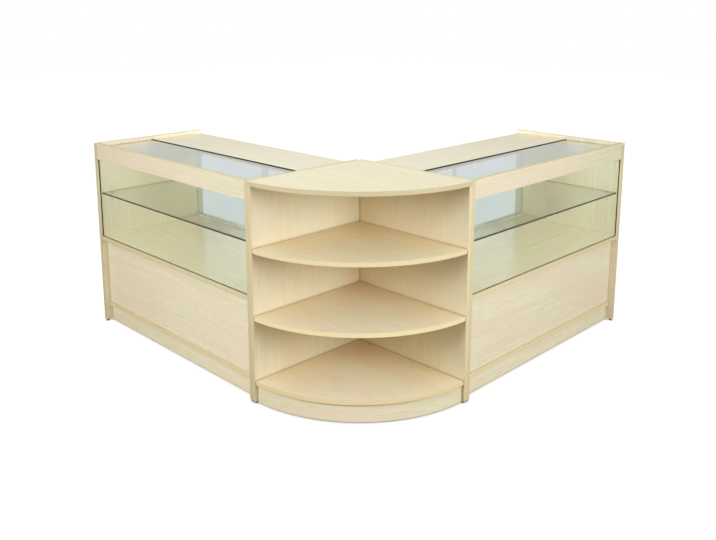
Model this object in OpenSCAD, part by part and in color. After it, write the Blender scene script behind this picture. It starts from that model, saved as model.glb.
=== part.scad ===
// Corner shop counter: two glass display counters set at a right angle, with a
// quarter round shelf unit at the outer corner between them.
// Millimetres, Z up. The set stands on Z = 0 and the middle of its floor area
// is the origin. The left counter faces -Y and the right counter faces +X.

/* [Overall] */
// Length of each glass counter, along its front
counter_length = 1200; // [900:10:1600]
// Depth of each glass counter, and the radius of the corner unit
counter_depth = 600; // [540:10:700]
// Height of the gables, the front rails and the corner top above the floor
counter_height = 900; // [860:5:1000]

/* [Boards] */
// Thickness of every laminated board
board = 18; // [16:1:20]
// Front rail and display deck behind the front edges of the gables
front_setback = 4; // [1:1:12]
// Worktop, deck and base board in front of the back edges of the gables
back_setback = 4; // [1:1:12]
// Height of the front rail
rail_height = 78; // [64:1:100]
// Worktop and top glass below the tops of the gables
top_drop = 18; // [15:1:30]
// Depth of the wooden worktop at the back of each counter
worktop_depth = 296; // [250:1:340]
// Top of the display deck above the floor
deck_height = 440; // [400:5:520]
// Face of the lower front panel behind the front edges of the gables
panel_setback = 28; // [24:1:50]
// Front edge of the base board behind the front edges of the gables
base_setback = 22; // [10:1:24]
// Underside of the base boards above the floor
plinth_height = 78; // [68:1:110]
// Underside of the plinths above the floor
plinth_gap = 5; // [2:0.5:8]
// Face of the front plinth behind the front edges of the gables
plinth_setback = 34; // [28:1:70]
// Face of the back plinth in front of the back edges of the gables
back_plinth_setback = 40; // [20:1:90]

/* [Glass] */
// Thickness of the front glass and the top glass
glass = 6; // [4:0.5:8]
// Depth of the grooves that hold the edges of the glass
groove_depth = 6; // [4:0.5:8]
// Free space on each side of the front glass in its grooves
groove_side_gap = 1; // [0.3:0.1:1.5]
// Free space above the top glass in its grooves
groove_top_gap = 0.3; // [0.2:0.1:0.6]
// Free space at the ends of the glass in its grooves
groove_end_gap = 0.5; // [0.2:0.1:1]
// Depth of the groove in the underside of the front rail
rail_groove_depth = 10; // [9:0.5:14]
// Width of the ledge in the worktop that carries the top glass
ledge_depth = 12; // [9:1:16]
// Open joint between the top glass and the worktop
joint_gap = 6; // [1:0.5:7]

/* [Shelves] */
// Thickness of the glass shelf
shelf_glass = 6; // [5:0.5:8]
// Underside of the glass shelf above the display deck
glass_shelf_rise = 210; // [120:2:300]
// Depth of the glass shelf
glass_shelf_depth = 500; // [300:5:505]
// Glass shelf behind the front glass
glass_shelf_gap = 5; // [2:1:15]
// Underside of the storage shelf above the base board
storage_shelf_rise = 155; // [100:1:220]
// Depth of the storage shelf
storage_shelf_depth = 470; // [300:5:490]
// Storage shelf behind the lower front panel
storage_shelf_gap = 4; // [1:1:20]
// Free space between a loose shelf and each gable
shelf_end_gap = 1; // [0.5:0.5:3]

/* [Sliding doors] */
// Door tracks in front of the back edges of the gables
track_setback = 30; // [14:1:36]
// Wall of the plastic door tracks
track_wall = 1.5; // [1:0.1:2]
// Height of the lower track
lower_track_height = 8; // [6:0.5:10]
// Height of the upper track
upper_track_height = 15; // [14:0.5:20]
// Thickness of the door glass
door_glass = 6; // [4:0.5:6.5]
// Free space on each side of a door in its track
door_side_gap = 0.5; // [0.3:0.1:0.8]
// Running gap under a door
door_foot_gap = 0.2; // [0.1:0.1:0.3]
// Height of a door's top edge inside the upper track
door_grip = 6; // [4:0.5:7]
// Gap between a closed door and its gable
door_end_gap = 1; // [0.5:0.5:3]
// Overlap of the two closed doors at the middle
door_overlap = 30; // [10:1:60]
// Height of the ground finger pull
pull_height = 70; // [40:1:100]
// Width of the ground finger pull
pull_width = 22; // [14:1:30]
// Depth of the ground finger pull
pull_depth = 2; // [1:0.1:2.4]
// Middle of the finger pull from the door's edge beside the gable
pull_inset = 45; // [30:1:80]

/* [Corner unit] */
// Underside of the upper corner shelf above the floor
upper_shelf_height = 619; // [560:1:680]
// Underside of the lower corner shelf above the floor
lower_shelf_height = 347; // [290:1:420]
// Rims of the two corner shelves behind the front edges of the panels
shelf_setback = 2; // [0:0.5:10]
// Rim of the corner base board behind the front edges of the panels
corner_base_setback = 3; // [1:0.5:8]
// Face of the curved plinth behind the front edges of the panels
corner_plinth_setback = 11; // [8.5:0.5:40]
// Number of saw cuts that let the curved plinth bend
kerf_count = 40; // [20:4:48]
// Width of each saw cut
kerf_width = 3; // [2:0.5:4]
// Depth of each saw cut
kerf_depth = 12; // [6:0.5:13]

/* [Fittings] */
// First fitting of a joint from the edge of the board
fix_inset = 60; // [45:1:70]
// Dowel from the cam fitting beside it
dowel_step = 40; // [20:1:45]
// Cam fitting in the front rail above the rail's lower edge
rail_cam_rise = 30; // [22:1:36]
// Dowel in the front rail below the rail's upper edge
rail_dowel_drop = 10; // [8:0.5:11]
// Cam fitting in a plinth below its upper edge
plinth_cam_drop = 26; // [14:1:36]
// Dowel in a plinth above its lower edge
plinth_dowel_rise = 16; // [8:1:20]
// Diameter of a cam
cam_diameter = 15; // [12:0.5:16]
// Centre of a cam from the end of its board
cam_offset = 34; // [24:1:40]
// Wood left behind a cam
cam_floor = 5; // [3:0.5:6]
// Cam below the face of its board
cam_recess = 0.5; // [0.2:0.1:1]
// Free space round a cam
cam_fit = 0.1; // [0.05:0.05:0.3]
// Diameter of a cam bolt
bolt_diameter = 6; // [5:0.5:6.5]
// Free space round a cam bolt
bolt_fit = 0.5; // [0.2:0.1:0.6]
// Diameter of the threaded end of a cam bolt
thread_diameter = 4.8; // [4:0.1:4.9]
// Diameter of the hole for the threaded end
thread_bore = 5; // [5:0.1:6]
// Depth of the hole for the threaded end
thread_depth = 11; // [8:0.5:12]
// Diameter of a wooden dowel
dowel_diameter = 8; // [6:0.5:8]
// Length of a wooden dowel
dowel_length = 30; // [25:1:35]
// Depth of a dowel in the face of a board
dowel_depth = 12; // [8:0.5:12.5]
// Free space round a dowel and past its end
dowel_fit = 0.05; // [0.05:0.05:0.2]
// Diameter of the hole for a shelf peg
peg_bore = 5; // [5:0.1:6]
// Diameter of the shank of a shelf peg
peg_shank = 4.9; // [4:0.1:4.9]
// Depth of the hole for a shelf peg
peg_depth = 10; // [8:0.5:12]
// Distance between the peg holes above each other
peg_pitch = 32; // [20:1:40]
// Diameter of the head of a shelf peg
peg_head = 8; // [7:0.5:10]
// Middle of a peg below the shelf that it carries
peg_drop = 3; // [2:0.1:3.3]
// Length of the head of a shelf peg
peg_reach = 12; // [8:0.5:16]
// Shelf peg from the front or back edge of its shelf
peg_inset = 50; // [30:1:70]
// Height of the plastic glides under the gables and panels
glide_height = 8; // [3:0.5:10]
// Diameter of a glide
glide_diameter = 16; // [12:0.5:16]
// Glide from the front or back edge of its board
glide_inset = 10; // [9:1:40]
// Diameter of the nail of a glide
nail_diameter = 2.4; // [2:0.1:3]
// Length of the nail of a glide
nail_length = 12; // [8:0.5:16]
// Free space round a nail and past its end
nail_fit = 0.1; // [0.05:0.05:0.2]

/* [Hidden] */

// Colours
maple = [0.88, 0.81, 0.70];
maple_shade = [0.82, 0.74, 0.62];
clear_glass = [0.74, 0.86, 0.82, 0.45];
ivory = [0.88, 0.86, 0.80];
nickel = [0.72, 0.72, 0.70];
zinc = [0.62, 0.62, 0.60];
beech = [0.80, 0.66, 0.48];
brown = [0.38, 0.31, 0.25];

// Facets of the small round shapes and of the large arcs
$fn = 32;
arc_fn = 180;
// Reach of a cutting shape past the face that it opens
cut = 1;

// Where the back corner of the corner unit stands
corner_x = (counter_length - counter_depth) / 2;
corner_y = -corner_x;

// Each span is [from, to]. Depths are measured forward from the back of a unit.
inner_x = [board, counter_length - board];
top_z = counter_height - top_drop;
rail_z = counter_height - rail_height;
base_top = plinth_height + board;

rail_s = [counter_depth - front_setback - board, counter_depth - front_setback];
rail_h = [rail_z, counter_height];
worktop_s = [back_setback, back_setback + worktop_depth];
worktop_h = [top_z - board, top_z];
deck_s = [back_setback, counter_depth - front_setback];
deck_h = [deck_height - board, deck_height];
panel_s = [counter_depth - panel_setback - board, counter_depth - panel_setback];
panel_h = [base_top, deck_h[0]];
base_s = [back_setback, counter_depth - base_setback];
base_h = [plinth_height, base_top];
plinth_s = [counter_depth - plinth_setback - board, counter_depth - plinth_setback];
back_plinth_s = [back_plinth_setback, back_plinth_setback + board];
plinth_h = [plinth_gap, plinth_height];

// Glass and its grooves
pane_x = [
    board - groove_depth + groove_end_gap,
    counter_length - board + groove_depth - groove_end_gap
];
front_glass_s = [mid(rail_s) - glass / 2, mid(rail_s) + glass / 2];
front_glass_h = [deck_height - groove_depth, rail_z + groove_depth];
front_groove_s = [front_glass_s[0] - groove_side_gap, front_glass_s[1] + groove_side_gap];
ledge_step = worktop_s[1] - ledge_depth;
top_glass_s = [ledge_step + joint_gap, rail_s[0] + groove_depth - groove_end_gap];
top_glass_h = [top_z - glass, top_z];
top_groove_h = [top_glass_h[0], top_z + groove_top_gap];

// Loose shelves and their pegs
shelf_x = [inner_x[0] + shelf_end_gap, inner_x[1] - shelf_end_gap];
glass_shelf_front = front_glass_s[0] - glass_shelf_gap;
glass_shelf_s = [glass_shelf_front - glass_shelf_depth, glass_shelf_front];
glass_shelf_z = deck_height + glass_shelf_rise;
storage_shelf_front = panel_s[0] - storage_shelf_gap;
storage_shelf_s = [storage_shelf_front - storage_shelf_depth, storage_shelf_front];
storage_shelf_z = base_top + storage_shelf_rise;

// Door tracks and doors
track_channel = door_glass + 2 * door_side_gap;
track_width = 3 * track_wall + 2 * track_channel;
lower_track_h = [deck_height, deck_height + lower_track_height];
upper_track_h = [worktop_h[0] - upper_track_height, worktop_h[0]];
door_length = (inner_x[1] - inner_x[0] - 2 * door_end_gap + door_overlap) / 2;
door_foot = lower_track_h[0] + track_wall + door_foot_gap;
door_head = upper_track_h[0] + door_grip;
pull_radius = (pull_width * pull_width / 4 + pull_depth * pull_depth) / (2 * pull_depth);

// Corner unit
corner_top_h = [counter_height - board, counter_height];
corner_panel_h = [glide_height, corner_top_h[0]];
corner_plinth_r = counter_depth - corner_plinth_setback;

// Cam fittings and dowels at the ends of the counter boards: [depth, height, turn].
// Turn 0 opens the cam downward, 1 backward and -1 forward.
cam_pocket = board - cam_floor;
plinth_cam_z = plinth_h[1] - plinth_cam_drop;
plinth_dowel_z = plinth_h[0] + plinth_dowel_rise;
rail_cams = [[mid(rail_s), rail_z + rail_cam_rise, 1]];
worktop_cams = [for (s = insets(worktop_s, fix_inset)) [s, mid(worktop_h), 0]];
deck_cams = [for (s = insets(deck_s, fix_inset)) [s, mid(deck_h), 0]];
base_cams = [for (s = insets(base_s, fix_inset)) [s, mid(base_h), 0]];
panel_cams = [for (z = insets(panel_h, fix_inset)) [mid(panel_s), z, 1]];
front_plinth_cams = [[mid(plinth_s), plinth_cam_z, 1]];
back_plinth_cams = [[mid(back_plinth_s), plinth_cam_z, -1]];
counter_cams = concat(
    rail_cams, worktop_cams, deck_cams, base_cams, panel_cams,
    front_plinth_cams, back_plinth_cams
);
dowel_inset = fix_inset + dowel_step;
rail_dowels = [[mid(rail_s), counter_height - rail_dowel_drop, 0]];
worktop_dowels = [for (s = insets(worktop_s, dowel_inset)) [s, mid(worktop_h), 0]];
deck_dowels = [for (s = insets(deck_s, dowel_inset)) [s, mid(deck_h), 0]];
base_dowels = [for (s = insets(base_s, dowel_inset)) [s, mid(base_h), 0]];
panel_dowels = [for (z = insets(panel_h, dowel_inset)) [mid(panel_s), z, 0]];
front_plinth_dowels = [[mid(plinth_s), plinth_dowel_z, 0]];
back_plinth_dowels = [[mid(back_plinth_s), plinth_dowel_z, 0]];
counter_dowels = concat(
    rail_dowels, worktop_dowels, deck_dowels, base_dowels, panel_dowels,
    front_plinth_dowels, back_plinth_dowels
);

// Fittings of the corner unit, by their distance along each panel
corner_run = [board, counter_depth];
corner_cam_run = insets(corner_run, fix_inset);
corner_dowel_run = [mid(corner_run)];
corner_joint_cams = insets(corner_panel_h, fix_inset);
corner_joint_dowels = insets(corner_panel_h, dowel_inset);

function mid(span) = (span[0] + span[1]) / 2;
function insets(span, inset) = [span[0] + inset, span[1] - inset];

// General shapes

// A block from its spans along X, forward from the back, and up
module block(x, s, z) {
    translate([x[0], -s[1], z[0]])
        cube([x[1] - x[0], s[1] - s[0], z[1] - z[0]]);
}

// Anything drawn at the left end of a counter, at both ends
module both_ends() {
    children();
    right_end() children();
}

module right_end() {
    translate([counter_length, 0, 0])
        mirror([1, 0, 0])
            children();
}

module left_counter() {
    translate([corner_x - counter_length, corner_y, 0])
        children();
}

module right_counter() {
    translate([corner_x, corner_y, 0])
        rotate([0, 0, 90])
            children();
}

module corner_unit() {
    translate([corner_x, corner_y, 0])
        children();
}

// Fittings. Each is drawn at the joint face, with the board that holds the cam
// or the longer part of the dowel along +X, and the cam opening towards -Z.

module cam_cuts() {
    translate([cam_offset, 0, -board / 2 - cut])
        cylinder(d = cam_diameter, h = cam_pocket + cut);
    rotate([0, 90, 0])
        cylinder(d = bolt_diameter + 2 * bolt_fit, h = cam_offset);
}

module thread_hole() {
    translate([cut, 0, 0])
        rotate([0, -90, 0])
            cylinder(d = thread_bore, h = thread_depth + cut);
}

module cam_fitting() {
    cam();
    cam_bolt();
}

module cam() {
    driver_slot = 1.6;
    difference() {
        translate([cam_offset, 0, cam_recess - board / 2])
            cylinder(d = cam_diameter - 2 * cam_fit, h = cam_pocket - cam_recess);
        translate([cam_offset - cam_diameter, 0, 0])
            rotate([0, 90, 0])
                cylinder(d = bolt_diameter + 2 * bolt_fit, h = cam_diameter + bolt_diameter);
        translate([cam_offset, 0, cam_recess - board / 2])
            cube([cam_diameter * 0.6, driver_slot, 2 * driver_slot], center = true);
        translate([cam_offset, 0, cam_recess - board / 2])
            cube([driver_slot, cam_diameter * 0.6, 2 * driver_slot], center = true);
    }
}

module cam_bolt() {
    rotate([0, -90, 0])
        cylinder(d = thread_diameter, h = thread_depth - cam_recess);
    rotate([0, 90, 0])
        cylinder(d = bolt_diameter, h = cam_offset + bolt_diameter / 2);
}

module dowel_hole_long() {
    rotate([0, 90, 0])
        translate([0, 0, -cut])
            cylinder(d = dowel_diameter, h = dowel_length - dowel_depth + dowel_fit + cut);
}

module dowel_hole_short() {
    translate([cut, 0, 0])
        rotate([0, -90, 0])
            cylinder(d = dowel_diameter, h = dowel_depth + cut);
}

module dowel() {
    chamfer = 0.8;
    radius = dowel_diameter / 2 - dowel_fit;
    translate([-dowel_depth, 0, 0])
        rotate([0, 90, 0])
            rotate_extrude()
                polygon([
                    [0, 0], [radius - chamfer, 0], [radius, chamfer],
                    [radius, dowel_length - chamfer], [radius - chamfer, dowel_length],
                    [0, dowel_length]
                ]);
}

// A peg for a loose shelf, at the inner face of the gable, with its flat at Z = 0
module shelf_peg() {
    translate([0, 0, -peg_drop])
        rotate([0, -90, 0])
            cylinder(d = peg_shank, h = peg_depth - cut / 2);
    difference() {
        translate([0, 0, -peg_drop])
            rotate([0, 90, 0])
                cylinder(d = peg_head, h = peg_reach);
        translate([-cut, -peg_head, 0])
            cube([peg_reach + 2 * cut, 2 * peg_head, peg_head]);
    }
}

module peg_hole() {
    translate([cut, 0, -peg_drop])
        rotate([0, -90, 0])
            cylinder(d = peg_bore, h = peg_depth + cut);
}

// A nail-on glide, with its foot on the floor
module glide() {
    rim = glide_diameter / 2;
    chamfer = glide_height / 3;
    rotate_extrude()
        polygon([
            [0, 0], [rim - chamfer, 0], [rim, chamfer], [rim, glide_height],
            [nail_diameter / 2, glide_height],
            [nail_diameter / 2, glide_height + nail_length - nail_diameter],
            [0, glide_height + nail_length]
        ]);
}

module nail_hole() {
    translate([0, 0, glide_height - cut])
        cylinder(d = nail_diameter + 2 * nail_fit, h = nail_length + cut + nail_fit);
}

// Counter boards, drawn with the counter's back along Y = 0 and its left end at X = 0

module at_fitting(f) {
    translate([board, -f[0], f[1]])
        rotate([90 * f[2], 0, 0])
            children();
}

module at_pegs(shelf_span, z) {
    for (s = insets(shelf_span, peg_inset))
        translate([board, -s, z])
            children();
}

module at_gable_glides() {
    for (s = insets([0, counter_depth], glide_inset))
        translate([board / 2, -s, 0])
            children();
}

module gable() {
    color(maple)
        difference() {
            block([0, board], [0, counter_depth], [glide_height, counter_height]);
            front_groove();
            top_groove();
            for (f = counter_cams)
                at_fitting(f) thread_hole();
            for (f = counter_dowels)
                at_fitting(f) dowel_hole_short();
            for (k = [-1:1]) {
                at_pegs(glass_shelf_s, glass_shelf_z + k * peg_pitch) peg_hole();
                at_pegs(storage_shelf_s, storage_shelf_z + k * peg_pitch) peg_hole();
            }
            at_gable_glides() nail_hole();
        }
}

module front_groove() {
    block(
        [board - groove_depth, board + cut], front_groove_s,
        [front_glass_h[0], rail_z + rail_groove_depth]
    );
}

module top_groove() {
    block(
        [board - groove_depth, board + cut],
        [top_glass_s[0] - groove_end_gap, rail_s[0] + groove_depth], top_groove_h
    );
}

// A board between the gables, drilled at both ends
module fixed_board(s, z, cams, dowels) {
    difference() {
        block(inner_x, s, z);
        both_ends() {
            for (f = cams)
                at_fitting(f) cam_cuts();
            for (f = dowels)
                at_fitting(f) dowel_hole_long();
        }
    }
}

module front_rail() {
    groove_x = [inner_x[0] - cut, inner_x[1] + cut];
    color(maple)
        difference() {
            fixed_board(rail_s, rail_h, rail_cams, rail_dowels);
            block(groove_x, front_groove_s, [rail_z - cut, rail_z + rail_groove_depth]);
            block(groove_x, [rail_s[0] - cut, rail_s[0] + groove_depth], top_groove_h);
        }
}

module worktop() {
    color(maple)
        difference() {
            fixed_board(worktop_s, worktop_h, worktop_cams, worktop_dowels);
            block(
                [inner_x[0] - cut, inner_x[1] + cut], [ledge_step, worktop_s[1] + cut],
                [top_glass_h[0], top_z + cut]
            );
        }
}

module display_deck() {
    color(maple)
        difference() {
            fixed_board(deck_s, deck_h, deck_cams, deck_dowels);
            block(
                [inner_x[0] - cut, inner_x[1] + cut], front_groove_s,
                [front_glass_h[0], deck_height + cut]
            );
        }
}

module lower_panel() {
    color(maple)
        fixed_board(panel_s, panel_h, panel_cams, panel_dowels);
}

module base_board() {
    color(maple_shade)
        fixed_board(base_s, base_h, base_cams, base_dowels);
}

module front_plinth() {
    color(maple)
        fixed_board(plinth_s, plinth_h, front_plinth_cams, front_plinth_dowels);
}

module back_plinth() {
    color(maple)
        fixed_board(back_plinth_s, plinth_h, back_plinth_cams, back_plinth_dowels);
}

module storage_shelf() {
    color(maple_shade)
        block(shelf_x, storage_shelf_s, [storage_shelf_z, storage_shelf_z + board]);
}

module top_glass() {
    color(clear_glass)
        block(pane_x, top_glass_s, top_glass_h);
}

module front_glass() {
    color(clear_glass)
        block(pane_x, front_glass_s, front_glass_h);
}

module glass_shelf() {
    color(clear_glass)
        block(shelf_x, glass_shelf_s, [glass_shelf_z, glass_shelf_z + shelf_glass]);
}

module glass_shelf_pegs() {
    color(nickel)
        both_ends()
            at_pegs(glass_shelf_s, glass_shelf_z) shelf_peg();
}

module storage_shelf_pegs() {
    color(nickel)
        both_ends()
            at_pegs(storage_shelf_s, storage_shelf_z) shelf_peg();
}

// The span of one of the two channels of a door track: 0 is the one at the back
function channel_s(lane) =
    let (start = track_setback + track_wall + lane * (track_wall + track_channel))
    [start, start + track_channel];

module track(z, channel_z) {
    color(ivory)
        difference() {
            block(inner_x, [track_setback, track_setback + track_width], z);
            for (lane = [0:1])
                block([inner_x[0] - cut, inner_x[1] + cut], channel_s(lane), channel_z);
        }
}

module lower_track() {
    track(lower_track_h, [lower_track_h[0] + track_wall, lower_track_h[1] + cut]);
}

module upper_track() {
    track(upper_track_h, [upper_track_h[0] - cut, upper_track_h[1] - track_wall]);
}

// A closed glass door at the left end, in the given channel, with a finger pull
// ground into its back face
module door(lane) {
    start = inner_x[0] + door_end_gap;
    back = channel_s(lane)[0] + door_side_gap;
    middle = (door_foot + door_head) / 2;
    color(clear_glass)
        difference() {
            block([start, start + door_length], [back, back + door_glass], [door_foot, door_head]);
            translate([
                start + pull_inset, pull_radius - pull_depth - back, middle - pull_height / 2
            ])
                cylinder(r = pull_radius, h = pull_height, $fn = 96);
        }
}

module counter_cam_fittings() {
    color(zinc)
        both_ends()
            for (f = counter_cams)
                at_fitting(f) cam_fitting();
}

module counter_dowel_set() {
    color(beech)
        both_ends()
            for (f = counter_dowels)
                at_fitting(f) dowel();
}

module counter_glides() {
    color(brown)
        both_ends()
            at_gable_glides() glide();
}

// Corner unit, drawn with its back corner at the origin. The left panel stands
// against the left counter and the right panel against the right counter.

// A fitting of a corner board at the left panel (0) or the right panel (1)
module at_panel(side, along, z) {
    if (side == 0)
        translate([board, -along, z]) children();
    else
        translate([along, -board, z]) rotate([0, 0, -90]) children();
}

// The joint where the end of the right panel meets the left panel
module at_panel_joint(z) {
    translate([board, -board / 2, z])
        rotate([90, 0, 0])
            children();
}

// The joint where the top lies on a panel, with the cams in the panel's outer face
module at_top_joint(side, along) {
    if (side == 0)
        translate([board / 2, -along, corner_top_h[0]]) rotate([0, 90, 0]) children();
    else
        translate([along, -board / 2, corner_top_h[0]]) rotate([0, 90, -90]) children();
}

// Dowels between the curved plinth and the base board
module at_plinth_dowels() {
    for (a = [22.5, 67.5])
        rotate([0, 0, -a])
            translate([corner_plinth_r - board / 2, 0, plinth_height])
                rotate([0, 90, 0])
                    children();
}

module at_corner_glides() {
    for (s = insets([0, counter_depth], glide_inset))
        translate([board / 2, -s, 0]) children();
    translate([counter_depth - glide_inset, -board / 2, 0]) children();
}

module quarter_disc(radius, from, z) {
    intersection() {
        translate([0, 0, z[0]])
            cylinder(r = radius, h = z[1] - z[0], $fn = arc_fn);
        block([from, radius + cut], [from, radius + cut], [z[0] - cut, z[1] + cut]);
    }
}

// A shelf between the two panels, drilled for both
module corner_board(radius, z) {
    difference() {
        quarter_disc(radius, board, z);
        for (side = [0:1]) {
            for (along = corner_cam_run)
                at_panel(side, along, mid(z)) cam_cuts();
            for (along = corner_dowel_run)
                at_panel(side, along, mid(z)) dowel_hole_long();
        }
    }
}

function corner_shelf_h(height) = [height, height + board];
corner_board_spans = [
    base_h, corner_shelf_h(lower_shelf_height), corner_shelf_h(upper_shelf_height)
];

// Holes in a panel's face for the boards that it carries
module panel_face_holes(side) {
    for (z = corner_board_spans) {
        for (along = corner_cam_run)
            at_panel(side, along, mid(z)) thread_hole();
        for (along = corner_dowel_run)
            at_panel(side, along, mid(z)) dowel_hole_short();
    }
}

// Holes in a panel's upper edge for the top
module panel_top_cuts(side) {
    for (along = corner_cam_run)
        at_top_joint(side, along) cam_cuts();
    for (along = corner_dowel_run)
        at_top_joint(side, along) dowel_hole_long();
}

module corner_left_panel() {
    color(maple)
        difference() {
            block([0, board], [0, counter_depth], corner_panel_h);
            panel_face_holes(0);
            panel_top_cuts(0);
            for (z = corner_joint_cams)
                at_panel_joint(z) thread_hole();
            for (z = corner_joint_dowels)
                at_panel_joint(z) dowel_hole_short();
            at_corner_glides() nail_hole();
        }
}

module corner_right_panel() {
    color(maple)
        difference() {
            block([board, counter_depth], [0, board], corner_panel_h);
            panel_face_holes(1);
            panel_top_cuts(1);
            for (z = corner_joint_cams)
                at_panel_joint(z) cam_cuts();
            for (z = corner_joint_dowels)
                at_panel_joint(z) dowel_hole_long();
            at_corner_glides() nail_hole();
        }
}

module corner_top() {
    color(maple)
        difference() {
            quarter_disc(counter_depth, 0, corner_top_h);
            for (side = [0:1]) {
                for (along = corner_cam_run)
                    at_top_joint(side, along) thread_hole();
                for (along = corner_dowel_run)
                    at_top_joint(side, along) dowel_hole_short();
            }
        }
}

module corner_shelf(height) {
    color(maple_shade)
        corner_board(counter_depth - shelf_setback, corner_shelf_h(height));
}

module corner_base_board() {
    color(maple_shade)
        difference() {
            corner_board(counter_depth - corner_base_setback, base_h);
            at_plinth_dowels() dowel_hole_short();
        }
}

// The curved plinth is a board with saw cuts down its back, bent to the arc
module corner_plinth() {
    kerf_step = 90 / kerf_count;
    color(maple)
        difference() {
            intersection() {
                difference() {
                    translate([0, 0, plinth_h[0]])
                        cylinder(r = corner_plinth_r, h = plinth_h[1] - plinth_h[0], $fn = arc_fn);
                    translate([0, 0, plinth_h[0] - cut])
                        cylinder(
                            r = corner_plinth_r - board, h = plinth_h[1] - plinth_h[0] + 2 * cut,
                            $fn = arc_fn
                        );
                }
                block([board, counter_depth], [board, counter_depth], plinth_h);
            }
            for (k = [2:kerf_count - 3])
                rotate([0, 0, -kerf_step * (k + 0.5)])
                    translate([
                        corner_plinth_r - board - cut, -kerf_width / 2, plinth_h[0] - cut
                    ])
                        cube([
                            kerf_depth + cut, kerf_width, plinth_h[1] - plinth_h[0] + 2 * cut
                        ]);
            at_plinth_dowels() dowel_hole_long();
        }
}

module corner_cam_fittings() {
    color(zinc) {
        for (side = [0:1], along = corner_cam_run) {
            for (z = corner_board_spans)
                at_panel(side, along, mid(z)) cam_fitting();
            at_top_joint(side, along) cam_fitting();
        }
        for (z = corner_joint_cams)
            at_panel_joint(z) cam_fitting();
    }
}

module corner_dowels() {
    color(beech) {
        for (side = [0:1], along = corner_dowel_run) {
            for (z = corner_board_spans)
                at_panel(side, along, mid(z)) dowel();
            at_top_joint(side, along) dowel();
        }
        for (z = corner_joint_dowels)
            at_panel_joint(z) dowel();
        at_plinth_dowels() dowel();
    }
}

module corner_glides() {
    color(brown)
        at_corner_glides() glide();
}

left_counter() gable();  // left_outer_gable
left_counter() right_end() gable();  // left_inner_gable
left_counter() front_rail();  // left_front_rail
left_counter() worktop();  // left_worktop
left_counter() display_deck();  // left_display_deck
left_counter() lower_panel();  // left_lower_panel
left_counter() base_board();  // left_base_board
left_counter() front_plinth();  // left_front_plinth
left_counter() back_plinth();  // left_back_plinth
left_counter() storage_shelf();  // left_storage_shelf
left_counter() top_glass();  // left_top_glass
left_counter() front_glass();  // left_front_glass
left_counter() glass_shelf();  // left_glass_shelf
left_counter() glass_shelf_pegs();  // left_glass_shelf_pegs
left_counter() storage_shelf_pegs();  // left_storage_shelf_pegs
left_counter() upper_track();  // left_upper_track
left_counter() lower_track();  // left_lower_track
left_counter() door(0);  // left_back_door
left_counter() right_end() door(1);  // left_front_door
left_counter() counter_cam_fittings();  // left_cam_fittings
left_counter() counter_dowel_set();  // left_dowels
left_counter() counter_glides();  // left_glides
right_counter() right_end() gable();  // right_outer_gable
right_counter() gable();  // right_inner_gable
right_counter() front_rail();  // right_front_rail
right_counter() worktop();  // right_worktop
right_counter() display_deck();  // right_display_deck
right_counter() lower_panel();  // right_lower_panel
right_counter() base_board();  // right_base_board
right_counter() front_plinth();  // right_front_plinth
right_counter() back_plinth();  // right_back_plinth
right_counter() storage_shelf();  // right_storage_shelf
right_counter() top_glass();  // right_top_glass
right_counter() front_glass();  // right_front_glass
right_counter() glass_shelf();  // right_glass_shelf
right_counter() glass_shelf_pegs();  // right_glass_shelf_pegs
right_counter() storage_shelf_pegs();  // right_storage_shelf_pegs
right_counter() upper_track();  // right_upper_track
right_counter() lower_track();  // right_lower_track
right_counter() door(0);  // right_back_door
right_counter() right_end() door(1);  // right_front_door
right_counter() counter_cam_fittings();  // right_cam_fittings
right_counter() counter_dowel_set();  // right_dowels
right_counter() counter_glides();  // right_glides
corner_unit() corner_left_panel();
corner_unit() corner_right_panel();
corner_unit() corner_top();
corner_unit() corner_shelf(upper_shelf_height);  // corner_upper_shelf
corner_unit() corner_shelf(lower_shelf_height);  // corner_lower_shelf
corner_unit() corner_base_board();
corner_unit() corner_plinth();
corner_unit() corner_cam_fittings();
corner_unit() corner_dowels();
corner_unit() corner_glides();
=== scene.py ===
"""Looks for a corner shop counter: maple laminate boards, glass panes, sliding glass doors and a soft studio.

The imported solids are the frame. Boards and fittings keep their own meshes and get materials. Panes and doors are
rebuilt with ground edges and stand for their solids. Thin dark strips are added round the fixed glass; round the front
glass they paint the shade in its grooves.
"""

import math

import bmesh
import bpy
from bpy.props import FloatProperty, FloatVectorProperty, PointerProperty
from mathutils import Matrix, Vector


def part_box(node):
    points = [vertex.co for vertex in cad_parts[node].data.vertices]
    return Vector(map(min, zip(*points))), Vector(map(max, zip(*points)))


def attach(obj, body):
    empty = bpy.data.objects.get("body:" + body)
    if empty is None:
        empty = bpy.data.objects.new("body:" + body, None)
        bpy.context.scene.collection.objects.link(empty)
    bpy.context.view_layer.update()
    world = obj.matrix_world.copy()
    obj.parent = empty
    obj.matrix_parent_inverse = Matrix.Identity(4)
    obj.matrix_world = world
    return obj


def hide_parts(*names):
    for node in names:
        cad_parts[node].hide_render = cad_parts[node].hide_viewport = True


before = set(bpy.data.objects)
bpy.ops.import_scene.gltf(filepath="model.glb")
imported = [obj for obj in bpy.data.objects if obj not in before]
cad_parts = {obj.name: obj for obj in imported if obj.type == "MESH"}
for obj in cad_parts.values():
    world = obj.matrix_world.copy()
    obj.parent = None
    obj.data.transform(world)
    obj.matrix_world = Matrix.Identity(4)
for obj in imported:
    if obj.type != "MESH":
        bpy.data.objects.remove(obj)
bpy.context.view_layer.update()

bl_info = {
    "name": "Corner shop counter",
    "version": (1, 0, 0),
    "blender": (4, 5, 0),
    "location": "View3D > Sidebar > Counter",
    "description": "Dresses the boards, glass, doors and fittings of a corner shop counter, and sets its stage",
    "category": "Object",
}

COUNTERS = ("left", "right")
UNITS = (*COUNTERS, "corner")
X, Y, Z = Vector((1.0, 0.0, 0.0)), Vector((0.0, 1.0, 0.0)), Vector((0.0, 0.0, 1.0))
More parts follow.
